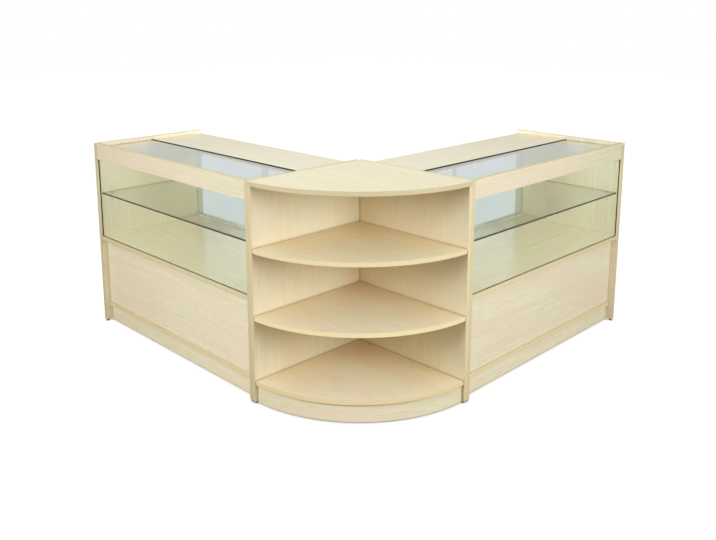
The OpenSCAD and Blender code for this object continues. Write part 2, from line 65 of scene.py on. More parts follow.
# For each counter: the axis along its front, and the axis across its depth
COUNTER_AXES = {"left": (X, Y), "right": (Y, X)}
# For each panel of the corner unit: the axis across it, and the axis through it
CORNER_AXES = {"left": (Y, X), "right": (X, Y)}

WHITE, BLACK = (1.0, 1.0, 1.0), (0.0, 0.0, 0.0)
# How near to a face of a board's box still counts as that face, as a share of the box: along, across and through
FACE_MARGINS = (0.0006, 0.001, 0.02)
# How much shorter the mottling of an extruded track is across its run than along it
EXTRUDED = 0.04
# The chamfer of a dark strip, as a share of its smallest side
STRIP_CHAMFER = 0.25

# What sets each board apart from the usual sheet. The function laminate says what each word does.
# The levels, tinges and bands also paint light and shade: they make lit and shaded copies of one laminate for boards
# that the lamps light differently
BOARD_LOOKS = {
    "left_gables": {"joints": 0.25},
    "right_gables": {"joints": 0.25, "band": 1.15},
    "left_front_rail": {"level": 0.94},
    "right_front_rail": {"level": 0.94},
    "left_lower_panel": {"level": 1.07},
    "right_lower_panel": {"level": 1.01},
    "left_front_plinth": {"level": 1.12},
    "left_back_plinth": {"level": 1.12},
    "right_front_plinth": {"level": 1.05},
    "right_back_plinth": {"level": 1.05},
    "low_boards": {"band": 1.36},
    "display_deck": {"band": 1.28, "joints": 0.2, "coat": 0.8},
    "worktop": {"level": 0.95, "tinge": (1.0, 1.04, 1.13)},
    "corner_left_panel": {"level": 1.06, "figure": 0.6, "warmth": 0.3},
    "corner_right_panel": {"level": 0.97, "band": 1.35, "figure": 0.6, "warmth": 0.75},
    "corner_top": {"level": 0.98},
    "corner_upper_shelf": {"level": 1.01, "band": 1.32, "warmth": 1.0},
    "corner_lower_shelf": {"level": 1.01, "band": 1.48, "warmth": 1.0},
    "corner_base_board": {"level": 1.01, "band": 1.38, "warmth": 1.0},
    "corner_plinth": {"level": 1.03},
}

# Each main lamp: its name, the setting with its power, its place and its size
MAIN_LAMPS = (
    ("Right lamp", "right_power", (3.3, -0.25, 1.4), (1.4, 1.0)),
    ("Front lamp", "front_power", (0.25, -3.3, 1.7), (1.4, 1.0)),
    ("Overhead lamp", "over_power", (0.3, -0.3, 2.5), (1.2, 1.2)),
)
CASE_LAMP_SIZE = (0.6, 0.25)


def srgb(red, green, blue):
    """A colour as a screen shows it, 0 to 255, turned into the linear values that the shaders take."""
    levels = (red / 255, green / 255, blue / 255)
    return tuple(v / 12.92 if v <= 0.04045 else ((v + 0.055) / 1.055) ** 2.4 for v in levels)


# Settings


def tone(name, description, colour):
    return FloatVectorProperty(
        name=name, description=description, subtype="COLOR", size=3, min=0.0, max=1.0, default=colour
    )


def length(name, description, metres):
    return FloatProperty(
        name=name, description=description, subtype="DISTANCE", unit="LENGTH", min=0.0, default=metres, precision=4
    )


def share(name, description, value):
    return FloatProperty(name=name, description=description, subtype="FACTOR", min=0.0, max=1.0, default=value)


def power(name, description, watts):
    return FloatProperty(name=name, description=description, subtype="POWER", unit="POWER", min=0.0, default=watts)


class CounterLaminateSettings(bpy.types.PropertyGroup):
    """Tones and figure of the maple laminate"""

    light_tone: tone("Light tone", "Palest wood between the flecks", srgb(236, 231, 204))
    dark_tone: tone("Dark tone", "Wood in the arches of the figure", srgb(222, 210, 174))
    fleck_tone: tone("Fleck tone", "Short dashes along the grain", srgb(213, 192, 160))
    blush_tone: tone("Blush tone", "Warm patches in the figure", srgb(236, 221, 196))
    band_tone: tone("Band tone", "Plain edge bands", srgb(207, 193, 152))
    core_tone: tone("Core tone", "Chipboard where a board is grooved or drilled", srgb(158, 128, 88))
    fleck_width: length("Fleck width", "Usual width of a fleck across the grain", 0.004)
    fleck_length: length("Fleck length", "Usual length of a fleck along the grain", 0.070)
    panel_roughness: share("Panel roughness", "Sheen of upright boards, from glossy to matt", 0.45)
    level_roughness: share("Level roughness", "Sheen of level boards, from glossy to matt", 0.34)
    deck_roughness: share("Deck roughness", "Sheen of the display decks, from glossy to matt", 0.24)
    coat_roughness: share("Coat roughness", "Sheen of a clear coat over the laminate, from glossy to matt", 0.12)
    edge_radius: length("Edge radius", "Rounding of the board edges as light shows it", 0.0012)
    # Painted shade: joint reach and joint shade darken the wood's colour in the inner corners, where shade falls
    joint_reach: length("Joint reach", "How far dust and shade lie out from an inner corner", 0.010)
    joint_shade: share("Joint shade", "How dark the inner corners are", 0.5)
    # Painted bounce light: bay reach sets how far off other boards still warm the wood's colour in the corner unit's
    # bays
    bay_reach: length("Bay reach", "How far off other boards warm the wood in the corner unit's bays", 0.3)


class CounterGlassSettings(bpy.types.PropertyGroup):
    """Tones and edge work of the glass"""

    level_tint: tone("Level tint", "What a level pane lets through", srgb(229, 233, 231))
    pane_tint: tone("Pane tint", "What an upright pane lets through", srgb(242, 247, 241))
    door_tint: tone("Door tint", "What a sliding door lets through", srgb(235, 243, 252))
    shade_tint: tone("Shade tint", "Light that each face of a pane passes on", srgb(251, 252, 249))
    edge_tone: tone("Edge tone", "Ground edges of the fixed panes and shelves", srgb(8, 13, 8))
    door_edge_tone: tone("Door edge tone", "Polished edges of the doors", srgb(226, 229, 216))
    # Painted shade: the dark strips round the front glass stand where its grooves are in shade. The same tone fills the
    # open joint behind the top glass and the ledge under it
    dark_strip_tone: tone("Dark strip tone", "Bead round the front glass and seal behind the top glass", srgb(42, 35, 20))
    foot_shade_strip: length("Foot shade strip", "Width and height of the bead along the foot of the front glass", 0.0016)
    side_shade_strip: length("Side shade strip", "Width and depth of the bead up each side of the front glass", 0.0018)
    joint_strip: length("Joint strip", "Width of the seal in the open joint behind the top glass", 0.0095)
    strip_lap: length("Strip lap", "How far that seal lies over the top glass", 0.0018)
    strip_crown: length("Strip crown", "How far that seal stands proud of the top glass", 0.0009)
    strip_depth: length("Strip depth", "How far that seal reaches down from the top of the glass", 0.004)
    level_index: FloatProperty(
        name="Level index", description="Refractive index of a level pane, which sets how much it mirrors", default=1.5
    )
    pane_index: FloatProperty(
        name="Pane index", description="Refractive index of an upright pane or door", default=1.4
    )
    arris: length("Arris", "Width of the flat ground along each edge of a pane", 0.0008)
    dark_edge_margin: length("Dark edge margin", "How far in from its front edge a glass shelf looks dark", 0.005)
    pull_height: length("Pull height", "Height of the ground finger pull in a door", 0.070)
    pull_width: length("Pull width", "Width of the ground finger pull in a door", 0.022)
    pull_depth: length("Pull depth", "Depth of the ground finger pull in a door", 0.002)
    pull_inset: length("Pull inset", "Middle of the finger pull from the door's edge beside the gable", 0.045)
    pull_roughness: share("Pull roughness", "How far the grinding blurs the pull", 0.35)
    pull_light_tone: tone("Pull light tone", "Palest spots of the ground glass", srgb(236, 242, 238))
    pull_dark_tone: tone("Pull dark tone", "Darkest spots of the ground glass", srgb(214, 224, 217))
    pull_index: FloatProperty(name="Pull index", description="Refractive index of the ground glass", default=1.5)


class CounterFittingSettings(bpy.types.PropertyGroup):
    """Tones of the plastic, metal and dowels"""

    track_tone: tone("Track tone", "Extruded plastic of the door tracks", srgb(247, 247, 242))
    peg_tone: tone("Peg tone", "Nickel of the shelf pegs", srgb(198, 195, 188))
    cam_tone: tone("Cam tone", "Zinc of the cams and their bolts", srgb(176, 176, 172))
    dowel_tone: tone("Dowel tone", "Raw beech of the dowels", srgb(222, 193, 150))
    glide_tone: tone("Glide tone", "Brown plastic of the glides", srgb(122, 104, 82))


class CounterStageSettings(bpy.types.PropertyGroup):
    """Floor, lamps and camera"""

    floor_tone: tone("Floor tone", "Light that the floor throws back at the counter", srgb(110, 98, 76))
    floor_glow: share("Floor glow", "How pale the floor looks of itself", 0.96)
    floor_mirrored: share("Mirrored floor", "How pale the floor looks where gloss mirrors it", 0.1)
    floor_size: length("Floor size", "Length of each side of the floor", 30.0)
    contact_reach: length("Contact reach", "How far the shade under the plinths spreads on the floor", 0.02)
    contact_power: FloatProperty(
        name="Contact power", description="Depth of that shade, where 1 is the full shade", min=0.0, default=0.5
    )
    ambient: tone("Ambient light", "Even light from all round", (0.78, 0.69, 0.54))
    lamp_tone: tone("Lamp tone", "Light of the lamps", (0.79, 0.88, 1.0))
    mirrored_tone: tone("Mirrored tone", "Surroundings as the glass and the gloss mirror them", srgb(205, 213, 214))
    right_power: power("Right lamp", "Near lamp to the right, lighting the right counter and the corner", 55.0)
    front_power: power("Front lamp", "Near lamp in front of the left counter", 56.0)
    over_power: power("Overhead lamp", "Lamp close above the corner", 9.5)
    case_power: power("Case lamps", "Each low panel on the staff side that lights a display case", 10.5)
    case_aim: length("Case lamp aim", "Height on the outer gable that the low panels point at", 0.62)
    lamp_aim: length("Lamp aim", "Height over the middle of the floor area that the other lamps point at", 0.5)
    camera_place: FloatVectorProperty(
        name="Camera place", description="Where the camera stands", subtype="TRANSLATION", unit="LENGTH", size=3,
        default=(2.6709, -2.6832, 1.5473),
    )
    camera_pitch: FloatProperty(
        name="Camera pitch", description="How far the camera looks down", subtype="ANGLE", unit="ROTATION",
        default=0.19685,
    )
    camera_turn: FloatProperty(
        name="Camera turn", description="Heading of the camera, anticlockwise from the Y axis", subtype="ANGLE",
        unit="ROTATION", default=math.radians(45.0) - 0.00055,
    )
    camera_lens: FloatProperty(name="Camera lens", description="Focal length in millimetres", default=40.275)
    camera_shift: FloatProperty(name="Camera shift", description="Upward shift of the frame", default=-0.1466)


# Node trees


class Graph:
    """Adds nodes to one tree and joins them as they are made."""

    def __init__(self, tree):
        self.tree = tree
        tree.nodes.clear()

    def node(self, kind, settings=None, **inputs):
        """A node whose inputs take a value, or the socket that they are joined to. in_2 names the third input."""
        node = self.tree.nodes.new(kind)
        node.location = (220 * (len(self.tree.nodes) % 9), -260 * (len(self.tree.nodes) // 9))
        for name, value in (settings or {}).items():
            setattr(node, name, value)
        for name, value in inputs.items():
            number = name.removeprefix("in_")
            socket = node.inputs[int(number)] if number.isdigit() else node.inputs[name.replace("_", " ")]
            if isinstance(value, bpy.types.NodeSocket):
                self.tree.links.new(value, socket)
            else:
                socket.default_value = value
        return node

    def math(self, operation, first, second=0.0, clamp=False):
        node = self.node("ShaderNodeMath", {"operation": operation, "use_clamp": clamp}, in_0=first, in_1=second)
        return node.outputs[0]

    def dot(self, first, second):
        return self.node("ShaderNodeVectorMath", {"operation": "DOT_PRODUCT"}, in_0=first, in_1=second).outputs["Value"]

    def combine(self, x, y, z):
        return self.node("ShaderNodeCombineXYZ", X=x, Y=y, Z=z).outputs[0]

    def mix_colour(self, factor, first, second, blend="MIX"):
        settings = {"data_type": "RGBA", "blend_type": blend}
        return self.node("ShaderNodeMix", settings, in_0=factor, in_6=first, in_7=second).outputs[2]

    def mix_vector(self, factor, first, second):
        return self.node("ShaderNodeMix", {"data_type": "VECTOR"}, in_0=factor, in_4=first, in_5=second).outputs[1]

    def noise(self, vector, detail=2.0, roughness=0.5, distortion=0.0, scale=1.0):
        node = self.node(
            "ShaderNodeTexNoise", Vector=vector, Scale=scale, Detail=detail, Roughness=roughness, Distortion=distortion
        )
        return node.outputs["Fac"]

    def spread(self, value, low, high, to_low=0.0, to_high=1.0):
        """Maps low to high onto to_low to to_high, and holds what lies beyond at the ends."""
        node = self.node(
            "ShaderNodeMapRange", {"clamp": True}, Value=value, From_Min=low, From_Max=high, To_Min=to_low,
            To_Max=to_high,
        )
        return node.outputs[0]

    def multiply(self, vector, factors):
        return self.node("ShaderNodeVectorMath", {"operation": "MULTIPLY"}, in_0=vector, in_1=factors).outputs[0]

    def stretch(self, vector, x, y, z):
        return self.multiply(vector, self.combine(x, y, z))


def new_group(name, inputs, outputs):
    """An empty node group with these sockets. Returns its tree, its graph, and its input and output nodes."""
    tree = bpy.data.node_groups.new(name, "ShaderNodeTree")
    for label, kind in inputs:
        tree.interface.new_socket(name=label, in_out="INPUT", socket_type=kind)
    for label, kind in outputs:
        tree.interface.new_socket(name=label, in_out="OUTPUT", socket_type=kind)
    graph = Graph(tree)
    return tree, graph, graph.node("NodeGroupInput"), graph.node("NodeGroupOutput")


def use_group(g, name, build, **inputs):
    """A node of this group, which is built when it is first asked for."""
    tree = bpy.data.node_groups.get(name) or build(name)
    return g.node("ShaderNodeGroup", {"node_tree": tree}, **inputs)


def new_material(name):
    material = bpy.data.materials.new(name)
    material.use_nodes = True
    return material, Graph(material.node_tree)


def opaque(colour):
    """The colour with a full alpha, as colour sockets take it."""
    return (*colour, 1.0)


def scaled(colour, factor):
    return tuple(factor * v for v in colour)


def sockets(kind, *labels):
    """Sockets of one kind for new_group. Their values are set where the group is used."""
    return [(label, kind) for label in labels]


COLOUR, NUMBER, VECTOR = "NodeSocketColor", "NodeSocketFloat", "NodeSocketVector"
MAPLE_INPUTS = [
    *sockets(COLOUR, "Light", "Dark", "Fleck", "Blush", "Band", "Core"),
    *sockets(NUMBER, "Figure", "Width", "Length", "Sheen", "Rounding", "Reach", "Shade", "Hollow", "Warmth"),
]
SPECKLE_OUTPUTS = [("Color", COLOUR), ("Roughness", NUMBER), ("Height", NUMBER)]
MAPLE_OUTPUTS = [*SPECKLE_OUTPUTS, ("Normal", VECTOR)]
# Dark chips in the core, painted shade in the inner corners, and the painted tint of wood that is lit by other wood
CHIP_TONE, JOINT_SHADE_TONE, BAY_TINT = srgb(104, 80, 52), srgb(160, 128, 82), (0.92, 0.76, 0.52)


def maple_figure(g, source, sink, vector, edging, core):
    """Printed maple where vector is (along, across, through) the board, its edge bands, and its chipboard core."""
    width, length = source.outputs["Width"], source.outputs["Length"]

    def grain(long_share, wide_share, **looks):
        """Noise whose spots are this many times as long and as wide as a fleck."""
        along = g.math("DIVIDE", 1.0 / long_share, length)
        across = g.math("DIVIDE", 1.0 / wide_share, width)
        return g.noise(g.stretch(vector, along, across, across), **looks)

    # The arches are the contour lines of a broad noise, so a higher factor draws more of them
    arches = g.math("SINE", g.math("MULTIPLY", grain(14.0, 34.0, detail=1.5, distortion=0.15), 150.0))
    fleck = grain(1.0, 1.0, detail=1.0, roughness=0.6, distortion=0.1)
    streak = grain(5.0, 3.5, detail=3.0, roughness=0.6, distortion=0.2)
    fibre = grain(2.0, 0.35, detail=2.0)
    cloud = grain(9.0, 30.0, detail=2.0)
    # Nearly one value over a board, and another one in the next board
    sheet = g.noise(g.stretch(vector, 0.4, 0.4, 31.0), detail=0.0)

    # Each spread says between which values of the noise a tone fades in, and how strong it gets
    wood = g.mix_colour(g.spread(streak, 0.38, 0.68, 0.0, 0.55), source.outputs["Light"], source.outputs["Dark"])
    wood = g.mix_colour(g.spread(cloud, 0.44, 0.62, 0.0, 0.8), wood, source.outputs["Blush"])
    wood = g.mix_colour(g.spread(arches, 0.1, 1.0, 0.0, 0.24), wood, source.outputs["Dark"])
    wood = g.mix_colour(g.spread(fleck, 0.54, 0.74, 0.0, 0.32), wood, source.outputs["Fleck"])
    wood = g.mix_colour(g.spread(fibre, 0.4, 0.75, 0.0, 0.15), wood, source.outputs["Fleck"])
    plain = g.mix_colour(0.35, source.outputs["Light"], source.outputs["Blush"])
    plain = g.mix_colour(0.25, plain, source.outputs["Dark"])
    wood = g.mix_colour(source.outputs["Figure"], plain, wood)
    band = g.mix_colour(g.spread(fibre, 0.35, 0.7, 0.0, 0.2), source.outputs["Band"], source.outputs["Fleck"])
    wood = g.mix_colour(g.math("MULTIPLY", edging, 0.9), wood, band)

    chips = g.spread(g.noise(vector, detail=2.0, scale=420.0), 0.38, 0.62, 0.0, 0.7)
    chipboard = g.mix_colour(chips, source.outputs["Core"], opaque(CHIP_TONE))
    wood = g.mix_colour(core, wood, chipboard)

    # Rounded edges, and a darker line along them: partly the seam of the edge band, partly painted shade where two
    # boards meet
    rounding = g.node("ShaderNodeBevel", {"samples": 4}, Radius=source.outputs["Rounding"])
    place = g.node("ShaderNodeNewGeometry")
    turned = g.dot(rounding.outputs[0], place.outputs["True Normal"])
    line = g.spread(turned, 0.90, 0.998, 0.72, 1.0)
    # Painted shade in the inner corners: ambient occlusion darkens the wood's colour where shade falls
    corner = g.node("ShaderNodeAmbientOcclusion", {"samples": 6}, Distance=source.outputs["Reach"])
    joint = g.math("MULTIPLY", g.spread(corner.outputs["AO"], 0.45, 0.95, 1.0, 0.0), source.outputs["Shade"])
    painted_shade = g.mix_colour(joint, opaque(WHITE), opaque(JOINT_SHADE_TONE))
    wood = g.mix_colour(1.0, wood, painted_shade, "MULTIPLY")
    # Deep in a bay the wood is lit by other wood, which warms it
    bay = g.node("ShaderNodeAmbientOcclusion", {"samples": 8}, Distance=source.outputs["Hollow"])
    depth = g.math("MULTIPLY", g.spread(bay.outputs["AO"], 0.15, 0.8, 1.0, 0.0), source.outputs["Warmth"])
    warmed = g.mix_colour(depth, opaque(WHITE), opaque(BAY_TINT))
    wood = g.mix_colour(1.0, wood, warmed, "MULTIPLY")
    # No two boards are cut from the same part of a sheet. The darker edge line, partly painted shade, is multiplied in
    # here too
    level = g.math("MULTIPLY", line, g.spread(sheet, 0.3, 0.7, 0.965, 1.03))
    wood = g.mix_colour(1.0, wood, g.combine(level, level, level), "MULTIPLY")
    g.tree.links.new(wood, sink.inputs["Color"])

    rough = g.math("ADD", source.outputs["Sheen"], g.spread(fibre, 0.3, 0.7, -0.04, 0.06), clamp=True)
    g.tree.links.new(g.math("ADD", rough, g.math("MULTIPLY", core, 0.4), clamp=True), sink.inputs["Roughness"])
    g.tree.links.new(g.math("SUBTRACT", fibre, g.spread(fleck, 0.56, 0.72, 0.0, 0.6)), sink.inputs["Height"])
    g.tree.links.new(rounding.outputs[0], sink.inputs["Normal"])


def between(g, value, margin):
    """1 where a share from 0 to 1 keeps this margin from both ends."""
    off_middle = g.math("ABSOLUTE", g.math("SUBTRACT", value, 0.5))
    return g.math("LESS_THAN", off_middle, 0.5 - margin)


def build_maple_board(name):
    """Maple on a flat board, from the directions along its grain, across it and through the board."""
    axes = sockets(VECTOR, "Along", "Across", "Through")
    tree, g, source, sink = new_group(name, axes + MAPLE_INPUTS, MAPLE_OUTPUTS)
    place = g.node("ShaderNodeTexCoord")
    along, _, through = directions = [source.outputs[label] for label, _ in axes]
    spot = [g.dot(place.outputs["Object"], direction) for direction in directions]
    facing_end = g.math("ABSOLUTE", g.dot(place.outputs["Normal"], along))
    facing_out = g.math("ABSOLUTE", g.dot(place.outputs["Normal"], through))
    vector = g.mix_vector(
        g.math("GREATER_THAN", facing_end, 0.5), g.combine(*spot), g.combine(spot[1], spot[2], spot[0])
    )
    # What lies inside the board's box, and not on its faces, is a groove, a step or a hole
    inside = 1.0
    for direction, margin in zip(directions, FACE_MARGINS):
        inside = g.math("MULTIPLY", inside, between(g, g.dot(place.outputs["Generated"], direction), margin))
    maple_figure(g, source, sink, vector, g.math("LESS_THAN", facing_out, 0.5), inside)
    return tree


def build_maple_rim(name):
    """Maple on a level board with a round rim, whose edge band follows the arc."""
    arc = [("Centre", VECTOR), *sockets(NUMBER, "Radius", "Banded")]
    tree, g, source, sink = new_group(name, arc + MAPLE_INPUTS, MAPLE_OUTPUTS)
    place = g.node("ShaderNodeTexCoord")
    offset = g.node(
        "ShaderNodeVectorMath", {"operation": "SUBTRACT"}, in_0=place.outputs["Object"], in_1=source.outputs["Centre"]
    ).outputs[0]
    parts = g.node("ShaderNodeSeparateXYZ", Vector=offset)
    angle = g.math("ARCTAN2", parts.outputs["Y"], parts.outputs["X"])
    run = g.math("MULTIPLY", angle, source.outputs["Radius"])
    flat = g.combine(parts.outputs["X"], parts.outputs["Y"], 0.0)
    reach = g.node("ShaderNodeVectorMath", {"operation": "LENGTH"}, in_0=flat).outputs["Value"]
    edging = g.math("LESS_THAN", g.math("ABSOLUTE", g.dot(place.outputs["Normal"], Z)), 0.5)
    vector = g.mix_vector(edging, place.outputs["Object"], g.combine(run, parts.outputs["Z"], reach))
    # Banded is 1 for a board with an edge band, and 0 for the bent plinth, which is laminate all round
    maple_figure(g, source, sink, vector, g.math("MULTIPLY", edging, source.outputs["Banded"]), 0.0)
    return tree


def build_speckle(name):
    """Fine mottling for moulded plastic, plated metal and glass grinding."""
    inputs = sockets(COLOUR, "Light", "Dark") + sockets(NUMBER, "Grain", "Low", "High") + [("Stretch", VECTOR)]
    tree, g, source, sink = new_group(name, inputs, SPECKLE_OUTPUTS)
    place = g.node("ShaderNodeTexCoord")
    fine = g.math("DIVIDE", 1.0, source.outputs["Grain"])
    coordinates = g.multiply(place.outputs["Object"], source.outputs["Stretch"])
    grain = g.noise(coordinates, detail=3.0, roughness=0.6, scale=fine)
    cloud = g.noise(coordinates, detail=2.0, scale=g.math("MULTIPLY", fine, 0.03))
    both = g.math("ADD", g.math("MULTIPLY", grain, 0.55), g.math("MULTIPLY", cloud, 0.45))
    tree.links.new(
        g.mix_colour(g.spread(both, 0.35, 0.65), source.outputs["Light"], source.outputs["Dark"]), sink.inputs["Color"]
    )
    tree.links.new(g.spread(both, 0.3, 0.7, source.outputs["Low"], source.outputs["High"]), sink.inputs["Roughness"])
    tree.links.new(grain, sink.inputs["Height"])
    return tree


# Materials


def laminate(
    g, group, roughness, settings, level=1.0, tinge=WHITE, band=1.0, figure=1.0, joints=1.0, warmth=0.0, coat=0.0,
    core=None,
):
    """Joins a maple group to the material's surface.

    level: below 1 makes a darker sheet and above 1 a paler one; set board by board, it paints light and shade. tinge:
    shares of red, green and blue that change its hue; the worktops' bluish tinge is painted sheen.
    band: below 1 makes darker edge bands and above 1 paler ones, which paints the light on them. figure: below 1 makes
    a plainer sheet, and 0 an even one.
    joints: below 1 makes the painted shade in the inner corners paler. warmth: above 0 paints the warm light of other
    wood deep into a bay.
    coat: strength of a clear coat. core: a tone that stands in for the chipboard's.
    """
    band_tone = scaled(settings.band_tone, band)
    tones = {
        label: opaque(tuple(level * share * v for share, v in zip(tinge, colour)))
        for label, colour in (
            ("Light", settings.light_tone), ("Dark", settings.dark_tone), ("Fleck", settings.fleck_tone),
            ("Blush", settings.blush_tone), ("Band", band_tone), ("Core", core or settings.core_tone),
        )
    }
    sizes = {
        "Figure": figure, "Width": settings.fleck_width, "Length": settings.fleck_length, "Sheen": roughness,
        "Rounding": settings.edge_radius, "Reach": settings.joint_reach, "Shade": settings.joint_shade * joints,
        "Hollow": settings.bay_reach, "Warmth": warmth,
    }
    for label, value in (tones | sizes).items():
        group.inputs[label].default_value = value
    bump = g.node(
        "ShaderNodeBump", Strength=0.2, Distance=0.0002, Height=group.outputs["Height"], Normal=group.outputs["Normal"]
    )
    shader = g.node(
        "ShaderNodeBsdfPrincipled", Base_Color=group.outputs["Color"], Roughness=group.outputs["Roughness"],
        Coat_Weight=coat, Coat_Roughness=settings.coat_roughness, Normal=bump.outputs[0],
    )
    g.node("ShaderNodeOutputMaterial", Surface=shader.outputs[0])


def flat_laminate(name, along, across, through, roughness, settings, **looks):
    """Maple for flat boards whose grain, width and thickness lie along these three directions."""
    material, g = new_material(name)
    board = use_group(g, "Maple board", build_maple_board, Along=along, Across=across, Through=through)
    laminate(g, board, roughness, settings, **looks)
    return material


def round_laminate(name, centre, radius, banded, settings, **looks):
    """Maple for a board of the corner unit. banded is 1 with an edge band, and 0 without."""
    material, g = new_material(name)
    board = use_group(g, "Maple rim", build_maple_rim, Centre=centre, Radius=radius, Banded=banded)
    laminate(g, board, settings.level_roughness, settings, **looks)
    return material


def dress(names, material):
    """Gives these CAD nodes the material, in every slot of their meshes."""
    for name in names:
        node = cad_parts[name]
        if not node.material_slots:
            node.data.materials.append(material)
        for slot in node.material_slots:
            slot.material = material


def let_through(g, shader, passing, settings):
    """Ends a glass material. The rays that passing picks out go straight through it with a slight tint."""
    clear = g.node("ShaderNodeBsdfTransparent", Color=opaque(settings.shade_tint))
    mix = g.node("ShaderNodeMixShader", Fac=passing, in_1=shader.outputs[0], in_2=clear.outputs[0])
    g.node("ShaderNodeOutputMaterial", Surface=mix.outputs[0])


def glass(name, tint, index, settings):
    """Clear glass with a faint film. Lamps and soft light pass straight through it."""
    material, g = new_material(name)
    place = g.node("ShaderNodeTexCoord")
    film = g.spread(g.noise(place.outputs["Object"], detail=2.0, scale=2.5), 0.35, 0.65)
    colour = g.mix_colour(film, opaque(tint), opaque(scaled(tint, 0.97)))
    shader = g.node(
        "ShaderNodeBsdfPrincipled", Base_Color=colour, Roughness=0.0, IOR=index, Transmission_Weight=1.0
    )
    light = g.node("ShaderNodeLightPath")
    passing = g.math("MAXIMUM", light.outputs["Is Shadow Ray"], light.outputs["Is Diffuse Ray"])
    let_through(g, shader, passing, settings)
    return material


def speckled(g, light, dark, grain, low, high, stretch=(1.0, 1.0, 1.0)):
    """A speckle node between two tones. Its roughness lies between low and high."""
    return use_group(
        g, "Speckle", build_speckle, Light=opaque(light), Dark=opaque(dark), Grain=grain, Low=low, High=high,
        Stretch=stretch,
    )


def frosted(name, settings):
    """Glass that the finger pull's grinding has left matt."""
    material, g = new_material(name)
    grind = speckled(
        g, settings.pull_light_tone, settings.pull_dark_tone, grain=0.0008, low=settings.pull_roughness * 0.8,
        high=settings.pull_roughness * 1.2,
    )
    bump = g.node("ShaderNodeBump", Strength=0.4, Distance=0.0001, Height=grind.outputs["Height"])
    shader = g.node(
        "ShaderNodeBsdfPrincipled", Base_Color=grind.outputs["Color"], Roughness=grind.outputs["Roughness"],
        IOR=settings.pull_index, Transmission_Weight=1.0, Normal=bump.outputs[0],
    )
    light = g.node("ShaderNodeLightPath")
    let_through(g, shader, light.outputs["Is Shadow Ray"], settings)
    return material


def ground_edge(name, colour):
    """Ground edge of a pane, as it looks from outside and through the glass."""
    material, g = new_material(name)
    speckle = speckled(g, colour, scaled(colour, 0.6), grain=0.0012, low=0.3, high=0.5)
    shader = g.node(
        "ShaderNodeBsdfPrincipled", Base_Color=speckle.outputs["Color"], Roughness=speckle.outputs["Roughness"],
        Specular_IOR_Level=0.2,
    )
    g.node("ShaderNodeOutputMaterial", Surface=shader.outputs[0])
    return material


def mottled(name, colour, low, high, grain, metallic=0.0, shade=0.88, stretch=(1.0, 1.0, 1.0), shine=0.5):
    """Moulded plastic, plated metal or turned wood in one mottled tone, with a roughness from low to high."""
    material, g = new_material(name)
    speckle = speckled(g, colour, scaled(colour, shade), grain, low, high, stretch)
    bump = g.node("ShaderNodeBump", Strength=0.2, Distance=0.0001, Height=speckle.outputs["Height"])
    shader = g.node(
        "ShaderNodeBsdfPrincipled", Base_Color=speckle.outputs["Color"], Roughness=speckle.outputs["Roughness"],
        Metallic=metallic, Specular_IOR_Level=shine, Normal=bump.outputs[0],
    )
    g.node("ShaderNodeOutputMaterial", Surface=shader.outputs[0])
    return material


# Meshes


def pane_mesh(low, high, arris):
    """A pane with a flat ground along every edge. Its rim takes the second material."""
    mesh = bmesh.new()
    bmesh.ops.create_cube(mesh, size=1.0)
    size = high - low
    middle = (high + low) / 2
    for vertex in mesh.verts:
        vertex.co = Vector(middle[i] + vertex.co[i] * size[i] for i in range(3))
    bmesh.ops.bevel(mesh, geom=list(mesh.edges), offset=arris, offset_type="OFFSET", segments=1, affect="EDGES")
    mesh.normal_update()
    thin = min(range(3), key=lambda i: size[i])
    for face in mesh.faces:
        face.material_index = 0 if abs(face.normal[thin]) > 0.99 else 1
    return mesh


def darken_beyond(mesh, place, outward):
    """Gives the faces beyond this plane the second material: a painted look of the pane's dark edge, which in glass
    shows through the faces near it.
    """
    geometry = [*mesh.verts, *mesh.edges, *mesh.faces]
    bmesh.ops.bisect_plane(mesh, geom=geometry, plane_co=place, plane_no=outward)
    for face in mesh.faces:
        if (face.calc_center_median() - place).dot(outward) > 0.0:
            face.material_index = 1


def strip(mesh, along, depth, run, reach, rise):
    """Adds a dark strip with chamfered edges: its ends along the counter, out from the glass, and upwards."""
    made = bmesh.ops.create_cube(mesh, size=1.0)["verts"]
    for vertex in made:
        share_along, share_out, share_up = (0.5 + v for v in vertex.co)
        vertex.co = (
            along * (run[0] + share_along * (run[1] - run[0]))
            + depth * (reach[0] + share_out * (reach[1] - reach[0]))
            + Z * (rise[0] + share_up * (rise[1] - rise[0]))
        )
    edges = list({edge for vertex in made for edge in vertex.link_edges})
    width = STRIP_CHAMFER * min(abs(end - start) for start, end in (run, reach, rise))
    bmesh.ops.bevel(mesh, geom=edges, offset=width, offset_type="OFFSET", segments=2, affect="EDGES")


def piece(name, mesh, *materials):
    """A new object from a bmesh, with its materials."""
    data = bpy.data.meshes.new(name)
    bmesh.ops.recalc_face_normals(mesh, faces=list(mesh.faces))
    mesh.to_mesh(data)
    mesh.free()
    for material in materials:
        data.materials.append(material)
    made = bpy.data.objects.new(name, data)
    bpy.context.scene.collection.objects.link(made)
    return made


def cut_away(made, cutter):
    """Cuts one object's shape out of another for good."""
    cut = made.modifiers.new("Cut", "BOOLEAN")
    cut.operation = "DIFFERENCE"
    cut.solver = "EXACT"
    cut.object = cutter
    cut.material_mode = "TRANSFER"
    bpy.context.view_layer.update()
    shaped = bpy.data.meshes.new_from_object(made.evaluated_get(bpy.context.evaluated_depsgraph_get()))
    made.modifiers.clear()
    made.data = shaped
    bpy.data.objects.remove(cutter)


# Operators


